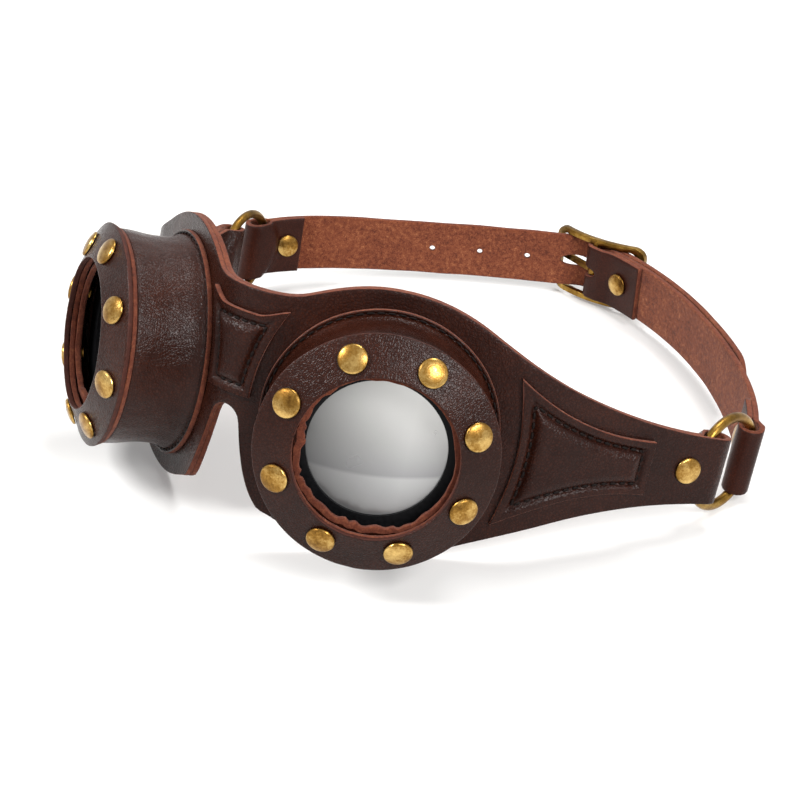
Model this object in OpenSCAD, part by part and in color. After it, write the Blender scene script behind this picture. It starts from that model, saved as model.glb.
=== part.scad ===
// Leather goggles: a shaped mask with two riveted round eye cups, an O-ring at each
// temple, and a head strap in two halves that meet at a centre-bar buckle.
// Millimetres. +Z is up from the table, -Y is the way the lenses face and +X is the
// wearer's left, so every "_left" piece is on the +X side.

/* [Leather] */
// Thickness of the mask, lining, cup and rim leather
leather = 1.6; // [1.2:0.1:2.2]
// Thickness of the strap leather
strap_leather = 1.8; // [1.4:0.1:2.4]

/* [Mask] */
// Angle that the mask leans back from upright as it stands on the table
mask_lean = 16; // [8:0.5:22]
// Height of the middle of the bridge over the table
mask_height = 44.4; // [38:0.1:56]
// Angle of each eye opening away from straight ahead
mask_splay = 33.5; // [26:0.5:40]
// Bend radius of the leather over the nose
bridge_bend = 20; // [14:0.5:26]
// Distance along the leather from the middle of the bridge to the cup centre
cup_offset = 43.2; // [41:0.1:50]
// Radius of the hole behind each cup
eye_hole_radius = 27; // [22:0.5:28.5]
// Distance past the cup centre where the temple starts to bend back
temple_start = 33; // [30:0.5:40]
// Length of the leather in the temple bend
temple_bend = 20; // [12:0.5:30]
// Direction of the wearer's left temple past its bend, from straight sideways
temple_heading_left = 53.5; // [48:0.5:65]
// Direction of the wearer's right temple past its bend, from straight sideways
temple_heading_right = 71.5; // [60:0.5:76]
// Rise of the wearer's right temple toward its end
temple_rise_right = 6.6; // [0:0.1:9]
// Distance past the cup centre to the fold at the temple end
temple_reach = 106.6; // [100:0.1:118]
// Length of temple leather folded back inside through the O-ring
temple_flap = 25; // [18:0.5:34]
// Distance from the fold centre back to the temple rivet
temple_rivet_back = 9.3; // [8.5:0.1:14]
// Distance from the flange out to the mask's edge above and below the cup
cup_margin = 5; // [4:0.1:8]
// Radius of the mask's edge over the cup
outline_radius = 49; // [44:0.5:60]
// Distance past the cup centre where the edge starts to taper
taper_from = 26.5; // [22:0.5:32]
// Height of the mask's top edge over the nose, from the line of the cup centres
bridge_half = 30.4; // [26:0.1:33]
// Depth of the top of the nose notch below the line of the cup centres
notch_drop = 3.6; // [1:0.1:10]
// Radius of the top of the nose notch
notch_round = 5; // [3.5:0.1:7]
// Depth of the nose notch's flared sides
notch_flare = 30; // [22:0.5:31]
// Width over which the notch's sides flare out
notch_ease = 6.4; // [4:0.1:9]
// Height of the bridge patch's top corners over the line of the cup centres
bridge_patch_top = 26.8; // [22:0.1:29]
// Half of the bridge patch's narrowest width
bridge_patch_half = 7; // [6:0.1:9]
// Distance of the temple patch's cup side past the cup centre
patch_from = 38.6; // [37:0.1:44]
// From the end of the temple patch to the fold at the end of the temple
patch_back = 27.4; // [22.6:0.1:36]
// Half the height of the temple patch's far side
patch_half = 8; // [6:0.1:9]
// Half the height of the temple patch's cup side
patch_wide_half = 21.6; // [18:0.1:22.5]

/* [Eye cups] */
// Radius of the stitched flange at the back of a cup
flange_radius = 33.2; // [32:0.1:36]
// Outer radius of the cup wall at its waist
waist_radius = 30.4; // [29.4:0.1:31]
// Outer radius of the cup wall behind the rim
shoulder_radius = 31.4; // [30.6:0.1:32.2]
// Outer radius of the riveted rim
rim_radius = 32.7; // [31.8:0.1:36]
// Radius of the hole in the riveted rim
rim_hole_radius = 21.9; // [20.5:0.1:23]
// Slope of the rim, falling outwards
rim_slope = 25.3; // [10:0.1:32]
// Height of the rim's inner edge over the mask
cup_depth = 28.9; // [26:0.1:34]
// Radius of the throat where the cup wall is turned in under the rim
throat_radius = 20.9; // [19.5:0.1:22]
// Radius of the ring of rivets
rivet_circle = 27; // [26:0.1:28]
// Rivets in each rim
rivet_count = 8; // [6:1:10]
// Turn of the first rivet on the wearer's left cup
rivet_turn_left = 24; // [0:0.5:45]
// Turn of the first rivet on the wearer's right cup
rivet_turn_right = 13; // [0:0.5:45]

/* [Rivets] */
// Radius of the domed rivet cap
cap_radius = 4; // [3:0.1:4.4]
// Height of a cap's straight edge
cap_edge = 0.3; // [0.25:0.05:0.6]
// Radius of a cap's rounded shoulder
cap_shoulder = 0.7; // [0.4:0.05:0.9]
// Slope of a cap's dome where it meets the shoulder
cap_slope = 18; // [10:1:25]
// Radius of the rivet stem
stem_radius = 1.5; // [1:0.05:1.8]
// Radius of the cap on the hidden side
back_cap_radius = 2.5; // [2.2:0.1:2.8]
// Height of the cap on the hidden side
back_cap_height = 0.6; // [0.5:0.05:0.7]

/* [Lens] */
// Radius of the round lens
lens_radius = 25; // [23.5:0.1:26]
// Thickness of the lens
lens_thickness = 2.5; // [2:0.1:3]
// Room between the rim leathers and the front of the lens carrier
carrier_gap = 3.5; // [3.3:0.1:6.3]
// Thickness of the carrier lips in front of and behind the lens
carrier_lip = 1.2; // [0.8:0.1:1.6]
// Radius of the opening in the carrier's front lip
carrier_opening = 18.8; // [17:0.1:20]
// Room between the lens carrier and the narrowest place of the cup wall round it
carrier_room = 0.33; // [0.1:0.01:2.2]

/* [O-rings] */
// Radius of the middle line of an O-ring
ring_radius = 14; // [13:0.1:16]
// Thickness of the O-ring wire
ring_wire = 3; // [2.4:0.1:3.4]
// Direction of the line through both folds, from straight sideways
ring_heading = 80; // [74:0.5:86]
// Inside radius of the leather folds that hold an O-ring
fold_radius = 3.4; // [3.25:0.05:3.6]

/* [Head strap] */
// Direction of the strap where it leaves the wearer's left O-ring, from straight sideways
strap_heading_left = 107; // [98:0.5:110]
// Direction of the strap where it leaves the wearer's right O-ring, from straight sideways
strap_heading_right = 110; // [100:0.5:112]
// Width of the strap
strap_width = 20; // [18:0.5:21]
// Distance along X of the buckle bar from the middle
bar_x = 8.2; // [-5:0.1:15]
// Distance of the buckle bar behind the bridge
bar_y = 190.6; // [175:0.1:215]
// Height of the buckle bar's middle over the table
bar_z = 14.3; // [13:0.1:18]
// Length of strap folded back at an O-ring, from the fold centre
ring_flap = 18; // [14:0.5:22]
// Length of strap folded back at the buckle, from the bar
buckle_flap = 23.2; // [18:0.5:28]
// Distance from the bar to the buckle rivet
buckle_rivet_back = 13.5; // [12:0.5:17]
// Length of the loose tail past the buckle bar
tail_length = 96; // [60:1:104]
// Clearance between the loose tail and the rivet that it lies on
tail_gap = 0.12; // [0.1:0.02:2]
// Distance between the holes in the strap
hole_spacing = 17.5; // [14:0.5:20]
// Radius of the round holes in the strap
hole_radius = 1; // [0.8:0.05:1.6]

/* [Buckle] */
// Length of the buckle frame along the strap
frame_length = 36; // [32:0.5:40]
// Height of the buckle frame across the strap
frame_height = 24.8; // [24.8:0.1:27]
// Width of the frame's end bars
end_bar = 2.8; // [2.4:0.1:3.2]
// Width of the frame's long rails
rail = 2; // [1.6:0.1:2]
// Thickness of the frame
frame_thickness = 2; // [1.6:0.1:2.1]
// Corner radius of the frame
frame_corner = 4.4; // [3:0.1:4.6]
// Bow of the frame: distance of its ends outside its middle
frame_bow = 4; // [3.9:0.1:4.6]
// Radius of the round centre bar
bar_radius = 1.3; // [1.1:0.05:1.4]
// Width of the flat prong
prong_width = 2.6; // [2:0.1:3.2]
// Thickness of the prong
prong_thickness = 1.2; // [0.9:0.1:1.4]

/* [Hidden] */
patch_to = temple_reach - patch_back;
carrier_front = cup_depth - 3.5 * leather - carrier_gap;
$fn = 96;
end_half = strap_width / 2;
// place of the bridge, from the middle of the goggles' bounding box
stand_side = -8.15;
stand_back = -88.8;

arc_end = bridge_bend * mask_splay * PI / 180;
flat_end = cup_offset + temple_start;
fold_u = cup_offset + temple_reach - leather - fold_radius;
rivet_u = fold_u - temple_rivet_back;
ring_sag = ring_radius - sqrt(ring_radius * ring_radius - end_half * end_half);

function smooth(t) = let(c = min(max(t, 0), 1)) c * c * (3 - 2 * c);
function temple_heading(side) = side > 0 ? temple_heading_left : temple_heading_right;
function mask_heading(u, side) =
  u < arc_end ? u / bridge_bend * 180 / PI :
  mask_splay + (temple_heading(side) - mask_splay) * min(1, max(0, u - flat_end) / temple_bend);
function turn_point(radius, from, to) = radius * [sin(to) - sin(from), cos(from) - cos(to)];
function along(heading) = [cos(heading), sin(heading)];
function inward(heading) = [-sin(heading), cos(heading)];
flat_start = turn_point(bridge_bend, 0, mask_splay);
bend_start = flat_start + (flat_end - arc_end) * along(mask_splay);
function mask_point(u, side) =
  u < arc_end ? turn_point(bridge_bend, 0, mask_heading(u, side)) :
  u < flat_end ? flat_start + (u - arc_end) * along(mask_splay) :
  let(bend_radius = temple_bend / ((temple_heading(side) - mask_splay) * PI / 180))
  bend_start + turn_point(bend_radius, mask_splay, mask_heading(u, side))
    + max(0, u - flat_end - temple_bend) * along(temple_heading(side));
function rise(u, side) = side > 0 ? 0 : temple_rise_right * smooth((u - flat_end) / (temple_reach - temple_start));
// the mask's edge is an arc over the cup, a hollow over the nose and a hollow taper to the temple
function greater(a, b, ease) = (a + b + sqrt((a - b) * (a - b) + ease * ease)) / 2;
cup_half = flange_radius + cup_margin;
taper_half = cup_half - taper_from * taper_from / (2 * outline_radius);
function half_at(v) = v < 0 ? greater(cup_half - v * v / (2 * outline_radius), bridge_half, 2) - 0.1 * smooth(1 + v / 10)
  : v < taper_from ? cup_half - v * v / (2 * outline_radius)
  : end_half + (taper_half - end_half) * pow(max(0, temple_reach - v) / (temple_reach - taper_from), 2);
function top_edge(u) = half_at(u - cup_offset);
function notch_depth(u) = u < notch_round * 0.98
  ? notch_round - sqrt(notch_round * notch_round - u * u)
  : notch_round * 0.8 + notch_flare * (1 - exp(-(u - notch_round * 0.98) / notch_ease)) + max(0, u - 6 * notch_round);
function bottom_edge(u) = -min(notch_drop + notch_depth(u), top_edge(u));

// a point of the mask frame, seen from the table frame
function stood(p) = [p.x + stand_side, p.y * cos(mask_lean) + p.z * sin(mask_lean) + stand_back,
  mask_height - p.y * sin(mask_lean) + p.z * cos(mask_lean)];

// one ring of a ribbon: outer low, outer high, inner high, inner low
function ring_at(p, n, low, high, outer, inner) = [
  [p.x + n.x * outer, p.y + n.y * outer, low], [p.x + n.x * outer, p.y + n.y * outer, high],
  [p.x + n.x * inner, p.y + n.y * inner, high], [p.x + n.x * inner, p.y + n.y * inner, low]];
function mask_ring(u, side, low, high, outer, inner) =
  ring_at(mask_point(u, side), inward(mask_heading(u, side)), low + rise(u, side), high + rise(u, side), outer, inner);
function mirrored(rings) = [for (i = [len(rings) - 1:-1:0]) [for (p = rings[i]) [-p.x, p.y, p.z]]];
function sheet_rings(us, side, outer, inner) = [for (u = us)
  mask_ring(u, side, bottom_edge(u), top_edge(u), outer, inner)];
function both_halves(right, left) = concat(mirrored([for (i = [1:len(right) - 1]) right[i]]), left);
mask_steps = concat([for (i = [0:27]) i * 0.6], [for (i = [0:22]) 17 + i * 2.4]);
function steps_to(last) = concat([for (u = mask_steps) if (u < last - 1) u],
  [for (u = [73:1.5:100]) if (u > 71 && u < last - 1) u],
  [for (u = [102.5:4:last - 1]) u], [last]);

module ribbon(rings) {
  last = 4 * (len(rings) - 1);
  polyhedron(
    points = [for (r = rings) for (p = r) p],
    faces = concat(
      [[0, 3, 2], [0, 2, 1], [last, last + 1, last + 2], [last, last + 2, last + 3]],
      [for (i = [0:len(rings) - 2]) for (j = [0:3]) [4 * i + j, 4 * i + (j + 1) % 4, 4 * i + 4 + (j + 1) % 4]],
      [for (i = [0:len(rings) - 2]) for (j = [0:3]) [4 * i + j, 4 * i + 4 + (j + 1) % 4, 4 * i + 4 + j]]),
    convexity = 8);
}

// places
module stand() {
  translate([stand_side, stand_back, mask_height]) rotate([-mask_lean, 0, 0]) children();
}
module side_of(side) {
  if (side > 0) children();
  else mirror([1, 0, 0]) children();
}
module on_leather(u, side, lift = 0) {
  p = mask_point(u, side) - inward(mask_heading(u, side)) * lift;
  stand() side_of(side) translate([p.x, p.y, rise(u, side)]) rotate([90, 0, mask_heading(u, side)]) children();
}
module at_cup(side) {
  on_leather(cup_offset, side) children();
}

// rivets
module rivet(grip, hidden_cap = back_cap_radius) {
  edge = [cap_radius - cap_shoulder + cap_shoulder * sin(cap_slope), cap_edge + cap_shoulder * cos(cap_slope)];
  round = edge.x / sin(cap_slope);
  rotate_extrude() polygon(concat(
    [[0, 0], [cap_radius - 0.25, 0], [cap_radius, 0.2]],
    [for (a = [0:15:75 - cap_slope]) [cap_radius - cap_shoulder + cap_shoulder * cos(a), cap_edge + cap_shoulder * sin(a)]],
    [for (i = [0:6]) let(a = cap_slope * (1 - i / 6)) [round * sin(a), edge.y + round * (cos(a) - cos(cap_slope))]]));
  translate([0, 0, -grip - 0.2]) cylinder(r = stem_radius, h = grip + 0.3);
  translate([0, 0, -grip - back_cap_height]) cylinder(r = hidden_cap, h = back_cap_height);
}
module rivet_hole(grip) {
  translate([0, 0, -grip - 3]) cylinder(r = stem_radius + 0.03, h = grip + 6);
}

// mask
function fold_centre(side) = mask_point(fold_u, side) + inward(temple_heading(side)) * (leather + fold_radius);
function flap_gap(d) = leather + (2 * fold_radius - leather) * (1 - smooth((d - 5.9) / 3));
function face_rings(side) = let(out = along(temple_heading(side)), in = inward(temple_heading(side)), up = rise(fold_u, side))
  concat(sheet_rings(steps_to(fold_u), side, 0, leather),
    [for (i = [1:11]) let(a = 15 * i) ring_at(fold_centre(side), out * sin(a) - in * cos(a),
      up - end_half, up + end_half, fold_radius + leather, fold_radius)],
    [for (i = [0:11]) let(d = i < 9 ? i : i < 11 ? 9 + (temple_flap - 9) / 2 * (i - 8.5) : temple_flap)
      mask_ring(fold_u - d, side, -end_half, end_half, 2 * leather + flap_gap(d), leather + flap_gap(d))]);
module temple_rivets_out() {
  for (side = [-1, 1]) {
    on_leather(rivet_u, side) rivet_hole(4 * leather);
    on_leather(rivet_u, side, -3 * leather) translate([0, 0, -4]) cylinder(r = back_cap_radius + 0.1, h = 4);
  }
}
module eye_holes() {
  for (side = [-1, 1]) at_cup(side) translate([0, 0, -10]) cylinder(r = eye_hole_radius, h = 20);
}
module face_leather() color("#3a2420") {
  difference() {
    stand() ribbon(both_halves(face_rings(-1), face_rings(1)));
    eye_holes();
    temple_rivets_out();
  }
}
module face_lining() color("#5a3426") {
  difference() {
    stand() ribbon(both_halves(sheet_rings(steps_to(fold_u - 6.1), -1, leather, 2 * leather),
      sheet_rings(steps_to(fold_u - 6.1), 1, leather, 2 * leather)));
    eye_holes();
    temple_rivets_out();
  }
}
module bridge_patch() color("#3a2420") {
  rings = [for (i = [0:28]) mask_ring(i * 0.6, 1, 4.2 - notch_drop,
    bridge_patch_top - 2.8 + 2.8 * smooth((i * 0.6 - 6) / 9), -leather, 0)];
  side_in = 57;
  difference() {
    stand() ribbon(both_halves(rings, rings));
    stand() for (x = [-1, 1]) translate([x * (bridge_patch_half + side_in), 40, 0])
      rotate([90, 0, 0]) cylinder(r = side_in, h = 80);
  }
}
module temple_patch(side) {
  cup_side_in = 75;
  us = concat([for (v = [-3.2:1.6:15]) patch_from + v], [for (i = [1:6]) patch_from + 14.4 + (patch_to - patch_from - 14.4) * i / 6]);
  difference() {
    stand() side_of(side) ribbon([for (v = us) let(u = cup_offset + v,
      h = patch_half + (patch_wide_half - patch_half) * pow((patch_to - v) / (patch_to - patch_from + 3.2), 2.2))
      mask_ring(u, side, -h, h, -leather, 0)]);
    at_cup(side) translate([patch_from - cup_side_in, 0, -4]) cylinder(r = cup_side_in, h = 9);
  }
}
module temple_patch_left() color("#3a2420") { temple_patch(1); }
module temple_patch_right() color("#3a2420") { temple_patch(-1); }
module temple_rivet(side) {
  on_leather(rivet_u, side) rivet(3 * leather);
}
module temple_rivet_left() color("#b08a3c") { temple_rivet(1); }
module temple_rivet_right() color("#b08a3c") { temple_rivet(-1); }

// eye cups: a point of the rim's slope, under a given depth of leather
function slope_point(r, depth) = [r - depth * sin(rim_slope),
  cup_depth - (r - rim_hole_radius) * tan(rim_slope) - depth * cos(rim_slope)];
waist_height = 10;
shoulder = slope_point(shoulder_radius + 2 * leather * sin(rim_slope), 2 * leather);
function wall_radius(z) = z < waist_height
  ? waist_radius + (flange_radius - 0.9 - waist_radius) * pow((waist_height - z) / (waist_height - leather), 5)
  : waist_radius + (shoulder_radius - waist_radius) * smooth((z - waist_height) / (shoulder.y - waist_height));
module rim_rivet_places(side) {
  place = slope_point(rivet_circle, 0);
  turn = side > 0 ? rivet_turn_left : rivet_turn_right;
  at_cup(side) for (i = [0:rivet_count - 1]) rotate([0, 0, turn + 360 / rivet_count * i])
    translate([place.x, 0, place.y]) rotate([0, rim_slope, 0]) children();
}
module cup_wall(side) {
  turned_in = slope_point(throat_radius + 2 * leather * sin(rim_slope), 2 * leather);
  turned_back = slope_point(throat_radius + 3 * leather * sin(rim_slope), 3 * leather);
  inner_shoulder = slope_point(shoulder_radius - leather + 3 * leather * sin(rim_slope), 3 * leather);
  difference() {
    at_cup(side) rotate_extrude() polygon(concat(
      [[flange_radius, 0], [flange_radius, leather]],
      [for (i = [0:8]) let(z = leather + (waist_height - leather) * pow(i / 8, 1.6)) [wall_radius(z), z]],
      [for (i = [1:5]) let(z = waist_height + (shoulder.y - waist_height) * i / 5) [wall_radius(z), z]],
      [turned_in, turned_back, inner_shoulder],
      [for (i = [4:-1:1]) let(z = waist_height + (inner_shoulder.y - waist_height) * i / 5) [wall_radius(z) - leather, z]],
      [for (i = [8:-1:0]) let(z = leather + (waist_height - leather) * pow(i / 8, 1.6)) [wall_radius(z) - leather, z]],
      [[flange_radius - 2.9, 0]]));
    rim_rivet_places(side) rivet_hole(3 * leather);
  }
}
module rim(side, over, under) {
  difference() {
    at_cup(side) rotate_extrude() polygon([
      slope_point(rim_hole_radius + over * sin(rim_slope), over), slope_point(rim_radius, over),
      slope_point(rim_radius, under), slope_point(rim_hole_radius + under * sin(rim_slope), under)]);
    rim_rivet_places(side) rivet_hole(3 * leather);
  }
}
// a flat hidden cap under the hollow of the cone
rim_seat = 0.08;
module rim_rivets(side) {
  rim_rivet_places(side) rivet(3 * leather + rim_seat);
}
module cup_wall_left() color("#38221f") { cup_wall(1); }
module cup_wall_right() color("#38221f") { cup_wall(-1); }
module rim_front_left() color("#3a2420") { rim(1, 0, leather); }
module rim_front_right() color("#3a2420") { rim(-1, 0, leather); }
module rim_back_left() color("#7a4432") { rim(1, leather, 2 * leather); }
module rim_back_right() color("#7a4432") { rim(-1, leather, 2 * leather); }
module rim_rivets_left() color("#b08a3c") { rim_rivets(1); }
module rim_rivets_right() color("#b08a3c") { rim_rivets(-1); }

// lens and its carrier
lens_front = carrier_front - carrier_lip;
carrier_back = lens_front - lens_thickness - carrier_lip;
carrier_radius = (carrier_back < waist_height ? waist_radius : wall_radius(carrier_back)) - leather - carrier_room;
module lens_carrier(side) {
  at_cup(side) rotate_extrude() polygon([
    [carrier_opening, carrier_front], [carrier_radius - 2, carrier_front], [carrier_radius, carrier_front - 3],
    [carrier_radius, carrier_back], [carrier_opening + 3, carrier_back],
    [carrier_opening + 3, lens_front - lens_thickness], [lens_radius, lens_front - lens_thickness],
    [lens_radius, lens_front], [carrier_opening, lens_front]]);
}
module lens(side) {
  at_cup(side) translate([0, 0, lens_front - lens_thickness]) cylinder(r = lens_radius, h = lens_thickness);
}
module lens_carrier_left() color("#151516") { lens_carrier(1); }
module lens_carrier_right() color("#151516") { lens_carrier(-1); }
module lens_left() color("#9a9c9c") { lens(1); }
module lens_right() color("#9a9c9c") { lens(-1); }

// O-rings: at the edges of the temple the wire lies in the middle of the fold
function ring_place(side) = fold_centre(side) - along(ring_heading) * ring_sag - along(temple_heading(side)) * 0.2
  + inward(temple_heading(side)) * ring_sag * sin(ring_heading - temple_heading(side)) / 2
  + along(ring_heading) * ring_radius;
module o_ring(side) {
  c = ring_place(side);
  stand() side_of(side) translate([c.x, c.y, rise(fold_u, side)]) rotate([90, 0, ring_heading])
    rotate_extrude() translate([ring_radius, 0]) circle(d = ring_wire, $fn = 48);
}
module o_ring_left() color("#a8823a") { o_ring(1); }
module o_ring_right() color("#a8823a") { o_ring(-1); }

// head strap: a bent line from the fold at an O-ring to the buckle, in the table frame
function strap_heading(side) = side > 0 ? strap_heading_left : strap_heading_right;
function strap_start(side) = let(c = ring_place(side) + along(ring_heading) * (ring_radius - ring_sag) - along(strap_heading(side)) * 1.2
    + inward(strap_heading(side)) * ring_sag * sin(ring_heading - strap_heading(side)) / 3.7)
  stood([side * c.x, c.y, rise(fold_u, side)]);
bar = [bar_x + stand_side, bar_y + stand_back];
function bent(p, t) = pow(1 - t, 3) * p[0] + 3 * pow(1 - t, 2) * t * p[1] + 3 * (1 - t) * t * t * p[2] + t * t * t * p[3];
function bent_way(p, t) = let(d = pow(1 - t, 2) * (p[1] - p[0]) + 2 * (1 - t) * t * (p[2] - p[1]) + t * t * (p[3] - p[2]))
  d / norm(d);
function flat(p) = [p.x, p.y];
short_start = strap_start(1);
long_start = strap_start(-1);
short_line = [flat(short_start), flat(short_start) + 32 * along(strap_heading_left), bar - 42 * along(172), bar, short_start.z];
long_end = bar + [-(frame_length - end_bar) / 2, frame_bow - frame_thickness / 2 - 2.86 * strap_leather];
long_line = [flat(long_start), flat(long_start) + 28 * along(180 - strap_heading_right), long_end - 46 * along(27), long_end, long_start.z];
tail_clear = back_cap_height + tail_gap;
over_bar = bar + [0, bar_radius + 0.2 + strap_leather + tail_clear];
hump_line = [long_end, long_end + 6 * along(24), over_bar - 7 * along(-12), over_bar];
function strap_up(t) = let(a = mask_lean * (1 - smooth(t / 0.6))) [0, sin(a), cos(a)];
function strap_height(line, t) = line[4] + (bar_z - line[4]) * smooth(t / 0.7);
// ring of a strap: outward is the side away from the head
function strap_ring(p, z, way, up, side, outer, inner, half) =
  let(n0 = side * cross([way.x, way.y, 0], up), n = n0 / norm(n0), c = [p.x, p.y, z])
  [c + n * outer - up * half, c + n * outer + up * half, c + n * inner + up * half, c + n * inner - up * half];
function fold_ring(p, z, way, up, side, angle, outer, inner, half) =
  let(n0 = side * cross([way.x, way.y, 0], up), n = n0 / norm(n0), c = [p.x, p.y, z],
    d = n * cos(angle) - [way.x, way.y, 0] * sin(angle))
  [c + d * outer - up * half, c + d * outer + up * half, c + d * inner + up * half, c + d * inner - up * half];
strap_nip = 0.05;
function spread_at(d) = strap_nip + (fold_radius - strap_nip) * (1 - smooth((d - 5.8) / 2.8));
function bar_spread(d) = strap_nip + (bar_radius + 0.2 - strap_nip) * (1 - smooth((d - 3) / 7));
// distance along a line in small straight pieces, and the place on it at a given distance
function run(line, t, n = 24) = t <= 0 ? 0 : norm(bent(line, t) - bent(line, t - t / n)) + run_part(line, t, n, n - 1);
function run_part(line, t, n, k) = k <= 0 ? 0
  : norm(bent(line, t * k / n) - bent(line, t * (k - 1) / n)) + run_part(line, t, n, k - 1);
function place_at(line, d, low = 0, high = 1, k = 12) = k == 0 ? (low + high) / 2
  : let(m = (low + high) / 2) run(line, m) < d ? place_at(line, d, m, high, k - 1) : place_at(line, d, low, m, k - 1);
short_run = run(short_line, 1);
flap_places = [0, 1.9, 3.8, 5.8, 6.4, 6.9, 7.4, 8, 8.7, 13, ring_flap];
function ring_end_flap(line, side) = [for (i = [len(flap_places) - 1:-1:0]) let(d = flap_places[i], t = place_at(line, d))
  strap_ring(bent(line, t), strap_height(line, t), bent_way(line, t), strap_up(t), side,
    -spread_at(d) - strap_leather, -spread_at(d), end_half)];
function ring_end_fold(line, side) = [for (i = [11:-1:1])
  fold_ring(bent(line, 0), line[4], bent_way(line, 0), strap_up(0), side, 15 * i,
    fold_radius + strap_leather, fold_radius, end_half)];
lead_places = [0, 1.9, 3.8, 5.8, 6.4, 6.9, 7.4, 8, 8.7, 12];
short_places = concat(lead_places, [for (i = [1:24]) 12 + (short_run - 12) * i / 24]);
short_rings = concat(
  ring_end_flap(short_line, 1),
  ring_end_fold(short_line, 1),
  [for (d = short_places) let(t = place_at(short_line, d), gap = max(spread_at(d), bar_spread(short_run - d)))
    strap_ring(bent(short_line, t), strap_height(short_line, t), bent_way(short_line, t), strap_up(t), 1,
      gap + strap_leather, gap, end_half)],
  [for (i = [1:11]) fold_ring(bar, bar_z, -bent_way(short_line, 1), [0, 0, 1], -1, 15 * i,
    bar_radius + 0.2 + strap_leather, bar_radius + 0.2, end_half)],
  [for (d = [0, 1.5, 3, 4, 5, 6, 7, 8, 9, 10, 14, 18.5, buckle_flap]) let(t = place_at(short_line, short_run - d))
    strap_ring(bent(short_line, t), strap_height(short_line, t), bent_way(short_line, t), strap_up(t), 1,
      -bar_spread(d) - strap_leather, -bar_spread(d), end_half)]);
long_run = run(long_line, 1);
long_places = concat([for (i = [0:30]) 12 + (long_run - 12) * (30 - i) / 30],
  [for (i = [len(lead_places) - 2:-1:0]) lead_places[i]]);
function tail_half(d) = let(e = max(0, d - tail_length + end_half))
  max(2, sqrt(max(0, end_half * end_half - e * e)));
tail_places = [for (i = [0:6]) tail_length - end_half * pow(i / 6, 2), for (d = [80:-4:36]) d * tail_length / 96,
  for (d = [32:-2:0]) d];
function tail_lift(d) = bar_spread(d) + strap_leather + tail_clear - strap_nip;
long_rings = concat(
  [for (d = tail_places) let(t = place_at(short_line, short_run - d))
    strap_ring(bent(short_line, t), strap_height(short_line, t), bent_way(short_line, t), strap_up(t), 1,
      tail_lift(d) + strap_leather, tail_lift(d), tail_half(d))],
  [for (i = [9:-1:1]) let(t = i / 10)
    strap_ring(bent(hump_line, t), bar_z, bent_way(hump_line, t), [0, 0, 1], -1, strap_leather, 0, end_half)],
  [for (d = long_places) let(t = place_at(long_line, d), gap = spread_at(d))
    strap_ring(bent(long_line, t), strap_height(long_line, t), bent_way(long_line, t), strap_up(t), -1,
      gap + strap_leather, gap, end_half)],
  [for (i = [1:11]) fold_ring(bent(long_line, 0), long_line[4], bent_way(long_line, 0), strap_up(0), -1, 15 * i,
    fold_radius + strap_leather, fold_radius, end_half)],
  [for (d = flap_places) let(t = place_at(long_line, d))
    strap_ring(bent(long_line, t), strap_height(long_line, t), bent_way(long_line, t), strap_up(t), -1,
      -spread_at(d) - strap_leather, -spread_at(d), end_half)]);

// a frame on the strap: Z away from the head, X along the line
module on_strap(line, t, side, lift = 0, height = undef) {
  way = bent_way(line, t);
  up = strap_up(t);
  n0 = side * cross([way.x, way.y, 0], up);
  n = n0 / norm(n0);
  x = cross(up, n);
  p = bent(line, t);
  c = [p.x, p.y, is_undef(height) ? strap_height(line, t) : height] + n * lift;
  multmatrix([[x.x, up.x, n.x, c.x], [x.y, up.y, n.y, c.y], [x.z, up.z, n.z, c.z], [0, 0, 0, 1]]) children();
}
ring_rivet_back = 12.5;
hole_lead = 8.2;
cap_seat = 0.3;
hidden_seat = 0.16;
module strap_long() color("#4a2a22") {
  difference() {
    ribbon(long_rings);
    on_strap(long_line, place_at(long_line, ring_rivet_back), -1) rivet_hole(2 * strap_leather);
    for (i = [1:3]) on_strap(long_line, place_at(long_line, long_run + hole_lead - i * hole_spacing), -1)
      translate([0, 0, -4]) cylinder(r = hole_radius, h = 9);
    translate([bar.x - 13.2, bar.y - 6, bar_z - prong_width / 2 - 0.4]) cube([7.4, 16, prong_width + 0.8]);
  }
}
module strap_short() color("#4a2a22") {
  difference() {
    ribbon(short_rings);
    on_strap(short_line, place_at(short_line, ring_rivet_back), 1) rivet_hole(2 * strap_leather);
    on_strap(short_line, place_at(short_line, short_run - buckle_rivet_back), 1) rivet_hole(2 * strap_leather);
    translate([bar.x - 6, bar.y - 5, bar_z - prong_width / 2 - 0.5]) cube([9.5, 10, prong_width + 1]);
  }
}
module strap_long_rivet() color("#b08a3c") {
  on_strap(long_line, place_at(long_line, ring_rivet_back), -1, -strap_leather - strap_nip - cap_seat) rotate([180, 0, 0])
    rivet(2 * (strap_leather + strap_nip) + cap_seat + hidden_seat, 3.4);
}
module strap_short_rivet() color("#b08a3c") {
  on_strap(short_line, place_at(short_line, ring_rivet_back), 1, -strap_leather - strap_nip - cap_seat) rotate([180, 0, 0])
    rivet(2 * (strap_leather + strap_nip) + cap_seat + hidden_seat, 3.4);
}
module buckle_rivet() color("#b08a3c") {
  on_strap(short_line, place_at(short_line, short_run - buckle_rivet_back), 1, -strap_leather - strap_nip - cap_seat) rotate([180, 0, 0])
    rivet(2 * (strap_leather + strap_nip) + cap_seat, 3.4);
}

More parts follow.
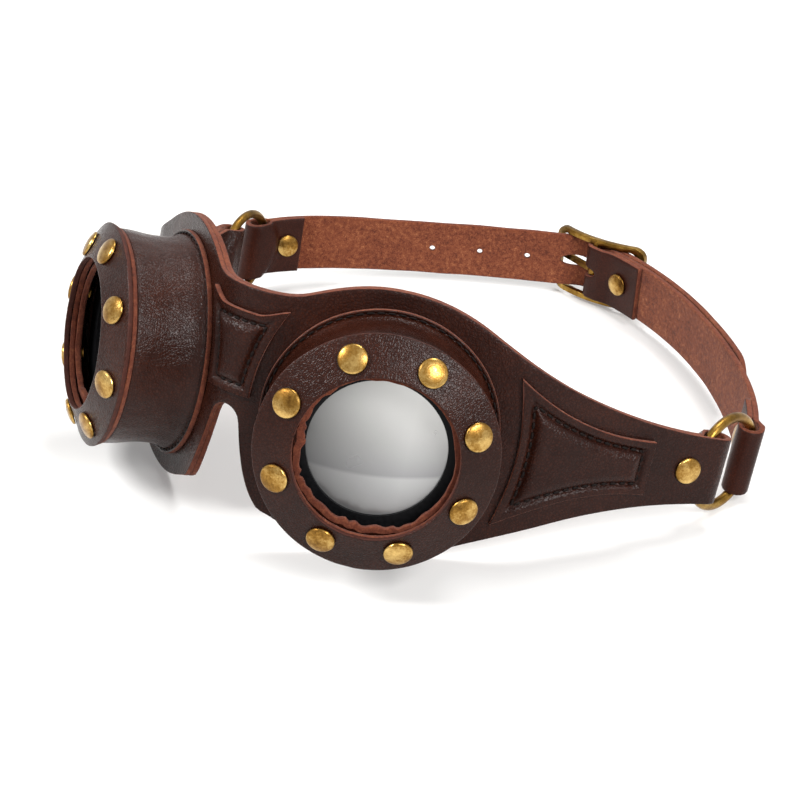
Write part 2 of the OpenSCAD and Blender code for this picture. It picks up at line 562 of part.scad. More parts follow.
// buckle
bow_radius = (pow(frame_length / 2, 2) + frame_bow * frame_bow) / (2 * frame_bow);
module rounded(length, height, corner) {
  square([length - 2 * corner, height], center = true);
  square([length, height - 2 * corner], center = true);
  for (x = [-1, 1], y = [-1, 1]) translate([x * (length / 2 - corner), y * (height / 2 - corner)]) circle(r = corner);
}
module buckle_frame() color("#a8823a") {
  translate([bar.x, bar.y, bar_z]) {
    intersection() {
      rotate([90, 0, 0]) translate([0, 0, -12]) linear_extrude(24) difference() {
        rounded(frame_length, frame_height, frame_corner);
        rounded(frame_length - 2 * end_bar, frame_height - 2 * rail, frame_corner - rail);
      }
      translate([0, bow_radius, 0]) difference() {
        cylinder(r = bow_radius + frame_thickness / 2, h = frame_height + 4, center = true);
        cylinder(r = bow_radius - frame_thickness / 2, h = frame_height + 6, center = true);
      }
    }
    cylinder(r = bar_radius, h = frame_height - rail, center = true);
  }
}
prong_reach = (frame_length - end_bar) / 2 + 1.2;
prong_rest = frame_bow + frame_thickness / 2 + 0.1;
module buckle_prong() color("#b8924a") {
  tilt = asin((prong_rest + prong_thickness / 2 - 0.2) / prong_reach);
  translate([bar.x, bar.y, bar_z]) rotate([0, 0, -tilt]) difference() {
    union() {
      translate([-prong_reach, -prong_thickness / 2, -prong_width / 2]) cube([prong_reach, prong_thickness, prong_width]);
      cylinder(r = bar_radius + 0.95, h = prong_width, center = true);
    }
    cylinder(r = bar_radius + 0.06, h = prong_width + 2, center = true);
  }
}

face_leather();
face_lining();
bridge_patch();
temple_patch_left();
temple_patch_right();
cup_wall_left();
cup_wall_right();
rim_front_left();
rim_front_right();
rim_back_left();
rim_back_right();
rim_rivets_left();
rim_rivets_right();
lens_left();
lens_right();
lens_carrier_left();
lens_carrier_right();
temple_rivet_left();
temple_rivet_right();
o_ring_left();
o_ring_right();
strap_long();
strap_short();
strap_long_rivet();
strap_short_rivet();
buckle_rivet();
buckle_frame();
buckle_prong();
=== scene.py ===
import math
import bpy
import bmesh
from mathutils import Matrix, Vector, noise


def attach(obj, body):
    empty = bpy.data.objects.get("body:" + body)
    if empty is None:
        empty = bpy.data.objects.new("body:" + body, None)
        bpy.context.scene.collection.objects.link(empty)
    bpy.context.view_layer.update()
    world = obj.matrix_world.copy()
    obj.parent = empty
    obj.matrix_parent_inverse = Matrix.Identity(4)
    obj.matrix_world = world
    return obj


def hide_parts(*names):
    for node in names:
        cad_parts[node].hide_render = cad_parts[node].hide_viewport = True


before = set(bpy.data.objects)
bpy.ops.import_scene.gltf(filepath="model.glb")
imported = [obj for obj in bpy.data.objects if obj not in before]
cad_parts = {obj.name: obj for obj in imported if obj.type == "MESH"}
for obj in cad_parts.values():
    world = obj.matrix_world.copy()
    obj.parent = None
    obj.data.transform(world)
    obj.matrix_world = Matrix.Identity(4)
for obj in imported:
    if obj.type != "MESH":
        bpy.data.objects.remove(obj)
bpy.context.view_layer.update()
mm = 0.001


# camera
view = {"place": (0.25401, -0.38301, 0.27336), "turn": (59.63, -2.456, 36.236), "lens": 74.25}
cameraData = bpy.data.cameras.new("camera")
cameraData.lens = view["lens"]
cameraData.sensor_width = 36
cameraData.clip_start = 0.01
camera = bpy.data.objects.new("camera", cameraData)
camera.location = view["place"]
camera.rotation_euler = [math.radians(a) for a in view["turn"]]
bpy.context.scene.collection.objects.link(camera)
bpy.context.scene.camera = camera
print("camera placed")


# the part's measurements, in millimetres, as in its source
leather = {"thick": 1.6, "strap": 1.8, "edge": 0.34}
mask = {"lean": 16, "height": 44.4, "side": -8.15, "back": -88.8, "splay": 33.5, "bridgeBend": 20,
        "cup": 43.2, "hole": 27, "flatEnd": 76.2, "bend": 20, "heading": {1: 53.5, -1: 71.5},
        "rise": {1: 0, -1: 6.6}, "reach": 106.6, "flap": 25, "outline": 49, "taperFrom": 26.5,
        "cupHalf": 38.2, "bridgeHalf": 30.4, "notchDrop": 3.6, "notchRound": 5, "notchFlare": 30,
        "notchEase": 6.4, "foldRadius": 3.4}
cup = {"flange": 33.2, "waist": 30.4, "shoulder": 31.4, "rim": 32.7, "hole": 21.9, "slope": 25.3,
       "depth": 28.9, "throat": 20.9, "circle": 27, "rivets": 8, "turn": {1: 24, -1: 13}, "waistHeight": 10}
endHalf = 10
ringWire = {"radius": 14, "maskFold": 2.8, "strapFold": {1: 2.2, -1: 3.1}, "grip": 1.7, "close": 3.4,
            "shift": {1: 1.4, -1: 0.2}}


def ease(t):
    c = min(max(t, 0), 1)
    return c * c * (3 - 2 * c)


def along(heading):
    a = math.radians(heading)
    return Vector((math.cos(a), math.sin(a), 0))


def inward(heading):
    a = math.radians(heading)
    return Vector((-math.sin(a), math.cos(a), 0))


def turned(radius, start, end):
    a, b = math.radians(start), math.radians(end)
    return radius * Vector((math.sin(b) - math.sin(a), math.cos(a) - math.cos(b), 0))


arcEnd = mask["bridgeBend"] * math.radians(mask["splay"])
foldAt = mask["cup"] + mask["reach"] - leather["thick"] - mask["foldRadius"]
standing = (Matrix.Translation((mask["side"], mask["back"], mask["height"]))
            @ Matrix.Rotation(-math.radians(mask["lean"]), 4, "X"))


def headingAt(u, side):
    if u < arcEnd:
        return math.degrees(u / mask["bridgeBend"])
    part = min(1, max(0, u - mask["flatEnd"]) / mask["bend"])
    return mask["splay"] + (mask["heading"][side] - mask["splay"]) * part


def pointAt(u, side):
    if u < arcEnd:
        return turned(mask["bridgeBend"], 0, headingAt(u, side))
    start = turned(mask["bridgeBend"], 0, mask["splay"])
    if u < mask["flatEnd"]:
        return start + (u - arcEnd) * along(mask["splay"])
    end = mask["heading"][side]
    radius = mask["bend"] / math.radians(end - mask["splay"])
    return (start + (mask["flatEnd"] - arcEnd) * along(mask["splay"])
            + turned(radius, mask["splay"], headingAt(u, side))
            + max(0, u - mask["flatEnd"] - mask["bend"]) * along(end))


def riseAt(u, side):
    return mask["rise"][side] * ease((u - mask["flatEnd"]) / (mask["cup"] + mask["reach"] - mask["flatEnd"]))


def topEdge(x):
    v = abs(x) - mask["cup"]
    curve = mask["cupHalf"] - v * v / (2 * mask["outline"])
    if v < 0:
        b = mask["bridgeHalf"]
        return (curve + b + math.sqrt((curve - b) ** 2 + 4)) / 2 - 0.1 * ease(1 + v / 10)
    if v < mask["taperFrom"]:
        return curve
    taper = mask["cupHalf"] - mask["taperFrom"] ** 2 / (2 * mask["outline"])
    left = max(0, mask["reach"] - v) / (mask["reach"] - mask["taperFrom"])
    return endHalf + (taper - endHalf) * left ** 2


def bottomEdge(x):
    u, r = abs(x), mask["notchRound"]
    if u < r * 0.98:
        depth = r - math.sqrt(r * r - u * u)
    else:
        flare = mask["notchFlare"] * (1 - math.exp(-(u - r * 0.98) / mask["notchEase"]))
        depth = r * 0.8 + flare + max(0, u - 6 * r)
    return -min(mask["notchDrop"] + depth, topEdge(x))


# how far the ring's wire reaches behind a fold, at a given height on the leather
def wireReach(y):
    r = ringWire["radius"]
    return math.sqrt(r * r - min(abs(y), endHalf) ** 2) - math.sqrt(r * r - endHalf ** 2)


# leather that wraps the wire and closes behind it
def hug(d, y, open, shut):
    return shut + (open - shut) * (1 - ease((d - wireReach(y) - ringWire["grip"]) / ringWire["close"]))


# a frame on the mask's outer face: place, outward and up. Past the fold it turns back inside
def maskFrame(x, y=0):
    side = 1 if x >= 0 else -1
    u = abs(x)
    heading = mask["heading"][side]
    fold = ringWire["maskFold"]
    wrap = math.pi * (fold + leather["thick"] / 2)
    if u <= foldAt:
        p, out, rise = pointAt(u, side), -inward(headingAt(u, side)), riseAt(u, side)
    else:
        rise = riseAt(foldAt, side)
        centre = pointAt(foldAt, side) + inward(heading) * (leather["thick"] + fold)
        if u < foldAt + wrap:
            a = (u - foldAt) / wrap * math.pi
            out = along(heading) * math.sin(a) - inward(heading) * math.cos(a)
            p = centre + out * (fold + leather["thick"])
        else:
            d = u - foldAt - wrap
            gap = hug(d, y, 2 * fold, 0.06 + leather["thick"])
            p = pointAt(foldAt - d, side) + inward(heading) * (2 * leather["thick"] + gap)
            out, rise = inward(heading), riseAt(foldAt - d, side)
    flip = Vector((side, 1, 1))
    turn = standing.to_3x3()
    return standing @ ((p + Vector((0, 0, rise))) * flip), turn @ (out * flip), turn @ Vector((0, 0, 1))


def cupFrame(side):
    heading = mask["splay"]
    flip = Vector((side, 1, 1))
    centre = standing @ (pointAt(mask["cup"], side) * flip)
    turn = standing.to_3x3()
    return centre, turn @ (along(heading) * flip), turn @ Vector((0, 0, 1)), turn @ (-inward(heading) * flip)


# sheets are cut flat, given their thickness and bevel, then bent into place
def newPattern():
    return bmesh.new()


def plainPanel(bm, x0, x1, low, high, across, up, spread=None):
    grid = bmesh.ops.create_grid(bm, x_segments=across, y_segments=up, size=1)
    for v in grid["verts"]:
        s, t = (v.co.x + 1) / 2, (v.co.y + 1) / 2
        if spread:
            s = spread(s)
        x = x0 + (x1 - x0) * s
        v.co = (x, low(x) + (high(x) - low(x)) * t, 0)


def holedPanel(bm, x0, x1, low, high, across, up, hole, radii, cuts):
    count = 2 * (across + up)
    start = -math.pi * 2 * (up / 2) / count
    ring = bmesh.ops.create_circle(bm, segments=count, radius=1)
    rim = list({e for v in ring["verts"] for e in v.link_edges})
    for v in ring["verts"]:
        k = round(math.atan2(v.co.y, v.co.x) / (2 * math.pi / count))
        a = 2 * math.pi * k / count
        v.co = (hole[0] + radii[0] * math.cos(a), hole[1] + radii[1] * math.sin(a), 0)
    outer = bmesh.ops.extrude_edge_only(bm, edges=rim)
    for v in [g for g in outer["geom"] if isinstance(g, bmesh.types.BMVert)]:
        a = math.atan2((v.co.y - hole[1]) / radii[1], (v.co.x - hole[0]) / radii[0])
        k = round((a - start) / (2 * math.pi / count)) % count
        if k <= up:
            x, t = x1, k / up
        elif k <= up + across:
            x, t = x1 + (x0 - x1) * (k - up) / across, 1
        elif k <= 2 * up + across:
            x, t = x0, 1 - (k - up - across) / up
        else:
            x, t = x0 + (x1 - x0) * (k - 2 * up - across) / across, 0
        v.co = (x, low(x) + (high(x) - low(x)) * t, 0)
    inner = set(ring["verts"])
    spokes = [e for e in bm.edges if (e.verts[0] in inner) != (e.verts[1] in inner)]
    bmesh.ops.subdivide_edges(bm, edges=spokes, cuts=cuts, use_grid_fill=True)


def roundEdges(bm, edges, offset, segments):
    bmesh.ops.bevel(bm, geom=edges, offset=offset, segments=segments, profile=0.5, affect="EDGES", material=-1)


# material 0 is the outer leather, 1 the flesh side and 2 the cut edge
def thicken(bm, thick, bevel=None, segments=2):
    bmesh.ops.remove_doubles(bm, verts=bm.verts, dist=0.02)
    bmesh.ops.recalc_face_normals(bm, faces=bm.faces)
    bm.normal_update()
    if sum(f.normal.z for f in bm.faces) < 0:
        bmesh.ops.reverse_faces(bm, faces=bm.faces)
    bmesh.ops.solidify(bm, geom=bm.faces[:], thickness=thick)
    low = min(v.co.z for v in bm.verts)
    for v in bm.verts:
        v.co.z = 0 if v.co.z > low + thick / 2 else -thick
    bm.normal_update()
    for f in bm.faces:
        zs = [v.co.z for v in f.verts]
        f.material_index = 2 if max(zs) - min(zs) > thick / 2 else (0 if zs[0] > -thick / 2 else 1)
    bmesh.ops.recalc_face_normals(bm, faces=bm.faces)
    cut = [e for e in bm.edges if len({f.material_index for f in e.link_faces}) > 1]
    roundEdges(bm, cut, bevel or leather["edge"], segments)


def bend(bm, frameAt, wave=0.0, seed=0.0):
    for v in bm.verts:
        p, out, up = frameAt(v.co.x, v.co.y)
        lift = v.co.z
        if wave:
            lift += wave * noise.noise(Vector((v.co.x * 0.05 + seed, v.co.y * 0.07, seed)))
        v.co = p + out * lift + up * v.co.y


def place(name, bm, materials, nodes=(), body="goggles"):
    bmesh.ops.scale(bm, vec=(mm, mm, mm), verts=bm.verts)
    bmesh.ops.recalc_face_normals(bm, faces=bm.faces)
    mesh = bpy.data.meshes.new(name)
    bm.to_mesh(mesh)
    bm.free()
    for m in materials:
        mesh.materials.append(m)
    mesh.shade_smooth()
    piece = bpy.data.objects.new(name, mesh)
    bpy.context.scene.collection.objects.link(piece)
    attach(piece, body)
    if nodes:
        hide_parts(*nodes)
    return piece


# finishes
def paint(code):
    parts = [int(code[i:i + 2], 16) / 255 for i in (1, 3, 5)]
    return [c / 12.92 if c <= 0.04045 else ((c + 0.055) / 1.055) ** 2.4 for c in parts] + [1]


def newGroup(name, inputs, outputs):
    group = bpy.data.node_groups.new(name, "ShaderNodeTree")
    for label, kind, value in inputs:
        socket = group.interface.new_socket(name=label, in_out="INPUT", socket_type=kind)
        if value is not None:
            socket.default_value = value
    for label, kind in outputs:
        group.interface.new_socket(name=label, in_out="OUTPUT", socket_type=kind)
    return group, group.nodes.new("NodeGroupInput"), group.nodes.new("NodeGroupOutput")


def math2(nodes, links, kind, a, b):
    node = nodes.new("ShaderNodeMath")
    node.operation = kind
    for i, value in enumerate((a, b)):
        if isinstance(value, (int, float)):
            node.inputs[i].default_value = value
        else:
            links.new(value, node.inputs[i])
    return node.outputs[0]


def weighed(nodes, links, a, shareA, b, shareB):
    first = math2(nodes, links, "MULTIPLY", a, shareA)
    return math2(nodes, links, "ADD", first, math2(nodes, links, "MULTIPLY", b, shareB))


def noiseAt(nodes, links, vector, scale, detail=4, rough=0.6):
    node = nodes.new("ShaderNodeTexNoise")
    links.new(vector, node.inputs["Vector"])
    if isinstance(scale, (int, float)):
        node.inputs["Scale"].default_value = scale
    else:
        links.new(scale, node.inputs["Scale"])
    node.inputs["Detail"].default_value = detail
    node.inputs["Roughness"].default_value = rough
    return node.outputs["Fac"]


def rampOf(nodes, links, value, stops):
    node = nodes.new("ShaderNodeValToRGB")
    links.new(value, node.inputs["Fac"])
    ramp = node.color_ramp
    while len(ramp.elements) < len(stops):
        ramp.elements.new(0.5)
    for element, (at, colour) in zip(ramp.elements, stops):
        element.position = at
        element.color = paint(colour) if isinstance(colour, str) else (colour, colour, colour, 1)
    return node.outputs["Color"]


def grainGroup():
    group, start, end = newGroup("leatherGrain",
        [("Vector", "NodeSocketVector", None), ("Cells", "NodeSocketFloat", 1300.0),
         ("Creases", "NodeSocketFloat", 0.5)],
        [("Height", "NodeSocketFloat"), ("Shade", "NodeSocketFloat"), ("Gloss", "NodeSocketFloat")])
    n, l = group.nodes, group.links
    vector = start.outputs["Vector"]
    wander = n.new("ShaderNodeTexNoise")
    l.new(vector, wander.inputs["Vector"])
    wander.inputs["Scale"].default_value = 700
    mix = n.new("ShaderNodeMix")
    mix.data_type = "VECTOR"
    mix.inputs["Factor"].default_value = 0.0012
    l.new(vector, mix.inputs["A"])
    l.new(wander.outputs["Color"], mix.inputs["B"])
    cells = n.new("ShaderNodeTexVoronoi")
    cells.feature = "DISTANCE_TO_EDGE"
    l.new(mix.outputs["Result"], cells.inputs["Vector"])
    l.new(start.outputs["Cells"], cells.inputs["Scale"])
    pebble = math2(n, l, "MINIMUM", math2(n, l, "MULTIPLY", cells.outputs["Distance"], 4.0), 1.0)
    fine = noiseAt(n, l, vector, 2600, 3)
    folds = noiseAt(n, l, vector, 190, 5, 0.65)
    crease = math2(n, l, "MULTIPLY", math2(n, l, "POWER", folds, 2.0), start.outputs["Creases"])
    height = weighed(n, l, pebble, 0.45, fine, 0.12)
    l.new(math2(n, l, "ADD", height, crease), end.inputs["Height"])
    l.new(weighed(n, l, noiseAt(n, l, vector, 45, 4), 0.75, pebble, 0.25), end.inputs["Shade"])
    l.new(weighed(n, l, noiseAt(n, l, vector, 120, 3), 0.6, fine, 0.4), end.inputs["Gloss"])
    return group


def fibreGroup():
    group, start, end = newGroup("fibre",
        [("Vector", "NodeSocketVector", None), ("Scale", "NodeSocketFloat", 1500.0)],
        [("Height", "NodeSocketFloat"), ("Mottle", "NodeSocketFloat")])
    n, l = group.nodes, group.links
    vector = start.outputs["Vector"]
    nap = noiseAt(n, l, vector, start.outputs["Scale"], 6, 0.75)
    spots = noiseAt(n, l, vector, math2(n, l, "MULTIPLY", start.outputs["Scale"], 0.32), 5, 0.7)
    blotch = noiseAt(n, l, vector, 75, 3)
    l.new(weighed(n, l, nap, 0.6, spots, 0.5), end.inputs["Height"])
    sharp = weighed(n, l, nap, 0.45, spots, 0.4)
    l.new(math2(n, l, "ADD", sharp, math2(n, l, "MULTIPLY", blotch, 0.15)), end.inputs["Mottle"])
    return group


grain, fibre = grainGroup(), fibreGroup()


def newFinish(name):
    material = bpy.data.materials.new(name)
    material.use_nodes = True
    nodes, links = material.node_tree.nodes, material.node_tree.links
    shader = nodes["Principled BSDF"]
    coords = nodes.new("ShaderNodeTexCoord").outputs["Object"]
    return material, nodes, links, shader, coords


def groupIn(nodes, links, group, coords, **values):
    node = nodes.new("ShaderNodeGroup")
    node.node_tree = group
    links.new(coords, node.inputs["Vector"])
    for label, value in values.items():
        node.inputs[label].default_value = value
    return node


def bumpFrom(nodes, links, shader, height, strength, distance):
    bump = nodes.new("ShaderNodeBump")
    bump.inputs["Strength"].default_value = strength
    bump.inputs["Distance"].default_value = distance
    links.new(height, bump.inputs["Height"])
    links.new(bump.outputs["Normal"], shader.inputs["Normal"])


def grainLeather(name, look):
    material, nodes, links, shader, coords = newFinish(name)
    g = groupIn(nodes, links, grain, coords, Cells=look["cells"], Creases=look["creases"])
    links.new(rampOf(nodes, links, g.outputs["Shade"], look["colours"]), shader.inputs["Base Color"])
    links.new(rampOf(nodes, links, g.outputs["Gloss"], look["rough"]), shader.inputs["Roughness"])
    shader.inputs["Specular IOR Level"].default_value = look["specular"]
    bumpFrom(nodes, links, shader, g.outputs["Height"], look["bump"], look["depth"])
    return material


def nappedLeather(name, look):
    material, nodes, links, shader, coords = newFinish(name)
    g = groupIn(nodes, links, fibre, coords, Scale=look["scale"])
    links.new(rampOf(nodes, links, g.outputs["Mottle"], look["colours"]), shader.inputs["Base Color"])
    shader.inputs["Roughness"].default_value = look["rough"]
    shader.inputs["Specular IOR Level"].default_value = 0.25
    shader.inputs["Sheen Weight"].default_value = look["sheen"]
    shader.inputs["Sheen Roughness"].default_value = 0.5
    bumpFrom(nodes, links, shader, g.outputs["Height"], look["bump"], 0.0003)
    return material


def agedBrass(name, look):
    material, nodes, links, shader, coords = newFinish(name)
    blotch = noiseAt(nodes, links, coords, look["scale"], 5, 0.65)
    specks = noiseAt(nodes, links, coords, 1900, 3, 0.7)
    both = weighed(nodes, links, blotch, 0.75, specks, 0.25)
    links.new(rampOf(nodes, links, both, look["colours"]), shader.inputs["Base Color"])
    links.new(rampOf(nodes, links, both, look["rough"]), shader.inputs["Roughness"])
    shader.inputs["Metallic"].default_value = 1.0
    bumpFrom(nodes, links, shader, both, 0.12, 0.0002)
    return material


finishes = {
    "outer": {"cells": 1150.0, "creases": 2.2, "specular": 0.13, "bump": 0.46, "depth": 0.00028,
              "colours": [(0.25, "#190804"), (0.5, "#240e08"), (0.78, "#37190f")],
              "rough": [(0.3, 0.2), (0.7, 0.34)]},
    "cup": {"cells": 1350.0, "creases": 2.4, "specular": 0.14, "bump": 0.4, "depth": 0.00028,
            "colours": [(0.25, "#1a0804"), (0.5, "#260f08"), (0.78, "#3a1b11")],
            "rough": [(0.3, 0.2), (0.7, 0.32)]},
    "strap": {"cells": 1500.0, "creases": 0.8, "specular": 0.12, "bump": 0.4, "depth": 0.00022,
              "colours": [(0.25, "#210b06"), (0.5, "#2d120a"), (0.78, "#3f1d12")],
              "rough": [(0.3, 0.3), (0.7, 0.42)]},
    "suede": {"scale": 2300.0, "rough": 0.95, "sheen": 0.15, "bump": 1.0,
              "colours": [(0.35, "#2c1108"), (0.45, "#5c2a17"), (0.54, "#7b4026"), (0.66, "#ad744b")]},
    "edge": {"scale": 1900.0, "rough": 0.85, "sheen": 0.05, "bump": 0.8,
             "colours": [(0.35, "#3a190f"), (0.5, "#643120"), (0.68, "#8c5335")]},
    "darkEdge": {"scale": 1900.0, "rough": 0.75, "sheen": 0.0, "bump": 0.6,
                 "colours": [(0.35, "#26100b"), (0.55, "#47231a"), (0.72, "#6a3a28")]},
    "rivet": {"scale": 160, "colours": [(0.32, "#4a3012"), (0.46, "#86632d"), (0.66, "#cfae6c")],
              "rough": [(0.35, 0.34), (0.7, 0.18)]},
    "ring": {"scale": 120, "colours": [(0.3, "#3d2a0e"), (0.5, "#7f5f28"), (0.72, "#bd9b50")],
             "rough": [(0.35, 0.4), (0.7, 0.22)]},
    # lens: tones of a painted reflection of a horizon, and painted light that brightens one side
    "lens": {"paintedReflectionTones": [(0.1, "#7c7b7b"), (0.23, "#8c8c8c"), (0.333, "#9c9c9c"), (0.352, "#858586"),
                       (0.52, "#a2a2a1"), (0.7, "#c0c0be"), (0.9, "#d4d4d2")],
             "fall": 0.02, "bow": -0.006, "paintedSideLight": 0.034, "middle": 0.94, "least": 0.3, "most": 1.22},
}
outerLeather = grainLeather("outerLeather", finishes["outer"])
cupLeather = grainLeather("cupLeather", finishes["cup"])
strapLeather = grainLeather("strapLeather", finishes["strap"])
suede = nappedLeather("suede", finishes["suede"])
cutEdge = nappedLeather("cutEdge", finishes["edge"])
darkEdge = nappedLeather("darkEdge", finishes["darkEdge"])
rivetBrass = agedBrass("rivetBrass", finishes["rivet"])
ringBrass = agedBrass("ringBrass", finishes["ring"])


def threadFinish():
    material, nodes, links, shader, coords = newFinish("thread")
    twist = nodes.new("ShaderNodeTexWave")
    links.new(coords, twist.inputs["Vector"])
    twist.inputs["Scale"].default_value = 900
    twist.inputs["Distortion"].default_value = 2
    tone = rampOf(nodes, links, twist.outputs["Fac"], [(0.2, "#060302"), (0.8, "#160b08")])
    links.new(tone, shader.inputs["Base Color"])
    shader.inputs["Roughness"].default_value = 0.6
    shader.inputs["Specular IOR Level"].default_value = 0.12
    bumpFrom(nodes, links, shader, twist.outputs["Fac"], 0.3, 0.0001)
    return material


def carrierFinish():
    material, nodes, links, shader, coords = newFinish("carrierBlack")
    speck = noiseAt(nodes, links, coords, 900, 4)
    links.new(rampOf(nodes, links, speck, [(0.3, "#040405"), (0.7, "#0c0c0e")]), shader.inputs["Base Color"])
    links.new(rampOf(nodes, links, speck, [(0.3, 0.4), (0.7, 0.6)]), shader.inputs["Roughness"])
    shader.inputs["Specular IOR Level"].default_value = 0.12
    bumpFrom(nodes, links, shader, speck, 0.15, 0.0001)
    return material


# the grey lens: a painted reflection in its base colour, pale toward a soft horizon and darker over and under
# it, and painted brighter toward one side
def paintedReflectionLens(name, side, look=finishes["lens"]):
    material, nodes, links, shader, coords = newFinish(name)
    centre, across, up, out = cupFrame(side)
    sep = nodes.new("ShaderNodeVectorMath")
    sep.operation = "DOT_PRODUCT"
    shift = nodes.new("ShaderNodeVectorMath")
    shift.operation = "SUBTRACT"
    links.new(coords, shift.inputs[0])
    shift.inputs[1].default_value = (centre + out * 18) * mm
    links.new(shift.outputs[0], sep.inputs[0])
    sep.inputs[1].default_value = (up * 0.985 + across * side * -0.08) * 1000
    bow = nodes.new("ShaderNodeVectorMath")
    bow.operation = "DOT_PRODUCT"
    links.new(shift.outputs[0], bow.inputs[0])
    bow.inputs[1].default_value = across * 1000
    bowSquared = math2(nodes, links, "MULTIPLY", bow.outputs["Value"], bow.outputs["Value"])
    bowed = math2(nodes, links, "MULTIPLY", bowSquared, look["bow"])
    height = math2(nodes, links, "ADD", sep.outputs["Value"], bowed)
    fac = math2(nodes, links, "ADD", math2(nodes, links, "MULTIPLY", height, look["fall"]), 0.5)
    tone = rampOf(nodes, links, fac, look["paintedReflectionTones"])
    # painted light: the lens colour is scaled brighter toward one side
    paintedSideLight = math2(nodes, links, "MULTIPLY", bow.outputs["Value"], look["paintedSideLight"] * side)
    paintedSideLight = math2(nodes, links, "ADD", paintedSideLight, look["middle"])
    paintedSideLight = math2(nodes, links, "MINIMUM", math2(nodes, links, "MAXIMUM", paintedSideLight, look["least"]), look["most"])
    shade = nodes.new("ShaderNodeVectorMath")
    shade.operation = "SCALE"
    links.new(tone, shade.inputs[0])
    links.new(paintedSideLight, shade.inputs["Scale"])
    links.new(shade.outputs[0], shader.inputs["Base Color"])
    haze = noiseAt(nodes, links, coords, 60, 2)
    links.new(rampOf(nodes, links, haze, [(0.3, 0.26), (0.7, 0.34)]), shader.inputs["Roughness"])
    shader.inputs["Metallic"].default_value = 0.55
    shader.inputs["Coat Weight"].default_value = 0.25
    shader.inputs["Coat Roughness"].default_value = 0.04
    bumpFrom(nodes, links, shader, haze, 0.02, 0.0001)
    return material


thread, carrierBlack = threadFinish(), carrierFinish()
print("finishes made")


# mask
maskCut = {"bridge": 12.7, "cupSpan": 30.5, "up": 40, "nearCup": 40, "liningEnd": 6.1}


def cutMask(bm, end):
    edge = maskCut["bridge"]
    far = mask["cup"] + maskCut["cupSpan"]
    plainPanel(bm, -edge, edge, bottomEdge, topEdge, 36, maskCut["up"])
    for side in (1, -1):
        a, b = (edge, far) if side > 0 else (-far, -edge)
        holedPanel(bm, a, b, bottomEdge, topEdge, maskCut["nearCup"], maskCut["up"],
                   (side * mask["cup"], 0), (mask["hole"], mask["hole"]), 7)
        a, b = (far, end) if side > 0 else (-end, -far)
        plainPanel(bm, a, b, bottomEdge, topEdge, 84, maskCut["up"])


bm = newPattern()
cutMask(bm, foldAt + math.pi * (ringWire["maskFold"] + leather["thick"] / 2) + mask["flap"])
thicken(bm, leather["thick"])
bend(bm, maskFrame, 0.15, 3.1)
place("maskLeather", bm, [outerLeather, suede, cutEdge], ["face_leather"])

bm = newPattern()
cutMask(bm, foldAt - maskCut["liningEnd"])
thicken(bm, leather["thick"])
bmesh.ops.translate(bm, vec=(0, 0, -leather["thick"] - 0.07), verts=bm.verts)
bend(bm, maskFrame, 0.15, 3.1)
place("maskLining", bm, [suede, suede, cutEdge], ["face_lining"])
print("mask cut and bent")


# stitches
def stitch(bm, a, b, out, thick):
    ball = bmesh.ops.create_uvsphere(bm, u_segments=8, v_segments=5, radius=1)
    run = b - a
    z = run.normalized()
    y = out.cross(z).normalized()
    x = z.cross(y)
    turn = Matrix((x * thick * 0.75, y * thick, z * (run.length / 2))).transposed().to_4x4()
    bmesh.ops.transform(bm, matrix=Matrix.Translation((a + b) / 2) @ turn, verts=ball["verts"])


def stitchRow(bm, path, pitch, filled, thick):
    lengths = [0]
    points = path + [path[0]]
    for p, q in zip(points, points[1:]):
        lengths.append(lengths[-1] + (q[0] - p[0]).length)

    def at(d):
        for i in range(1, len(lengths)):
            if d <= lengths[i]:
                t = (d - lengths[i - 1]) / max(1e-6, lengths[i] - lengths[i - 1])
                return points[i - 1][0].lerp(points[i][0], t), points[i - 1][1].lerp(points[i][1], t)
        return points[-1]

    count = round(lengths[-1] / pitch)
    step = lengths[-1] / count
    for i in range(count):
        a, out = at(i * step + step * (1 - filled) / 2)
        b, _ = at(i * step + step * (1 + filled) / 2)
        stitch(bm, a, b, out, thick)


def grooveAt(d, inset, width, depth):
    return -depth * math.exp(-((d - inset) / width) ** 2)


# patches
templePatch = {"start": 38.6, "end": 79.2, "half": 8, "wide": 21.6, "bow": 3.18,
               "inset": 3.0, "groove": 1.1, "puff": 1.0, "stitch": (2.9, 0.74, 0.55)}
bridgePatch = {"half": 7, "curve": 57, "low": 0.6, "top": 26.8, "notch": 2.8,
               "inset": 2.7, "groove": 0.95, "puff": 0.8, "stitch": (2.7, 0.74, 0.5)}


def templeHalf(v):
    c = templePatch
    left = max(0, (c["end"] - v) / (c["end"] - c["start"] + c["bow"]))
    return c["half"] + (c["wide"] - c["half"]) * left ** 2.2


def templeXY(s, t):
    c = templePatch
    v = c["start"] - c["bow"] * t * t * (1 - s) + s * (c["end"] - c["start"])
    return mask["cup"] + v, t * templeHalf(v)


def templeEdge(x, y):
    c = templePatch
    v = x - mask["cup"]
    half = templeHalf(v)
    slope = (templeHalf(v - 0.5) - templeHalf(v + 0.5))
    start = c["start"] - c["bow"] * (y / c["wide"]) ** 2
    return min(v - start, c["end"] - v, (half - abs(y)) / math.hypot(1, slope))


def bridgeHalfAt(y):
    c = bridgePatch
    return c["half"] + c["curve"] - math.sqrt(c["curve"] ** 2 - y * y)


def bridgeTop(x):
    return bridgePatch["top"] - bridgePatch["notch"] * (1 - ease((abs(x) - 6) / 9))


def bridgeXY(s, t):
    y = bridgePatch["low"] + t * (bridgePatch["top"] - bridgePatch["low"])
    x = (2 * s - 1) * bridgeHalfAt(y)
    y = bridgePatch["low"] + t * (bridgeTop(x) - bridgePatch["low"])
    return (2 * s - 1) * bridgeHalfAt(y), y


def bridgeEdge(x, y):
    lean = y / math.sqrt(bridgePatch["curve"] ** 2 - y * y)
    return min(y - bridgePatch["low"], bridgeTop(x) - y, (bridgeHalfAt(y) - abs(x)) / math.hypot(1, lean))


def crowd(s):
    return 0.5 + 0.5 * math.sin((s - 0.5) * math.pi * 0.9) / math.sin(0.45 * math.pi)


